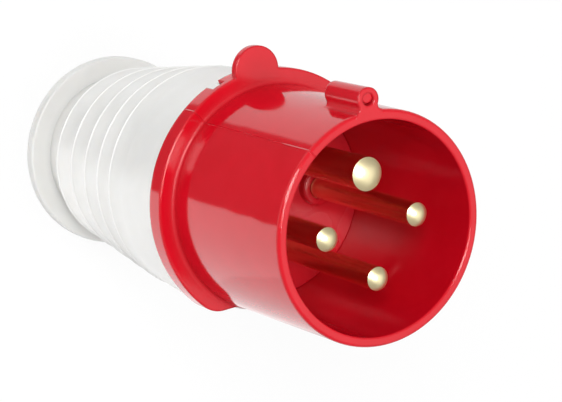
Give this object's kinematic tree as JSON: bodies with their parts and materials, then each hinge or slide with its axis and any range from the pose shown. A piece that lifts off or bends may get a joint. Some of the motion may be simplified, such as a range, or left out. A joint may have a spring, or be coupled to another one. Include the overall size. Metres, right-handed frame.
{
  "type": "industrial pin and sleeve plug",
  "caption": "Round pin and sleeve power plug with a keyed sleeve, domed brass pins, a lobed flange and a ribbed grip housing with a cable gland.",
  "frame": {"origin": "centre of the rear face of the collar, on the plug's axis", "axes": "+Z along the plug's axis towards the tips of the pins, +Y towards the key and the earth pin"},
  "size_m": [0.0572, 0.0626, 0.1192],
  "materials": {
    "red_nylon": "glossy moulded nylon",
    "carrier_nylon": "satin moulded nylon",
    "pale_nylon": "satin pale nylon",
    "grey_nylon": "satin moulded nylon",
    "brass": "polished turned brass",
    "plated_steel": "zinc plated",
    "rubber": "matte moulded rubber"
  },
  "bodies": {
    "plug": {"front_housing": "red_nylon", "pin_carrier": "carrier_nylon", "pin_retainer": "grey_nylon", "earth_pin": "brass", "phase_pin_1": "brass", "phase_pin_2": "brass", "phase_pin_3": "brass", "earth_terminal_screw": "plated_steel", "terminal_screw_1": "plated_steel", "terminal_screw_2": "plated_steel", "terminal_screw_3": "plated_steel", "retainer_screw_1": "plated_steel", "retainer_screw_2": "plated_steel", "rear_housing": "pale_nylon", "housing_seal": "rubber", "gland_seal": "rubber", "seal_insert": "rubber"},
    "clamp": {"pressure_ring": "grey_nylon", "clamp_cage": "pale_nylon"},
    "nut": {"gland_nut": "grey_nylon"}
  },
  "joints": [
    {"name": "clamp_slide", "type": "slide", "parent": "plug", "child": "clamp", "axis": [0, 0, -1], "range_m": [0, 0.003]},
    {"name": "nut_turn", "type": "hinge", "parent": "clamp", "child": "nut", "pos_m": [0, 0, 0], "axis": [0, 0, -1], "range_deg": [0, 540]}
  ],
  "couplings": [
    {"joint": "nut_turn", "follows": "clamp_slide", "rad_per_m": 3141.5}
  ]
}
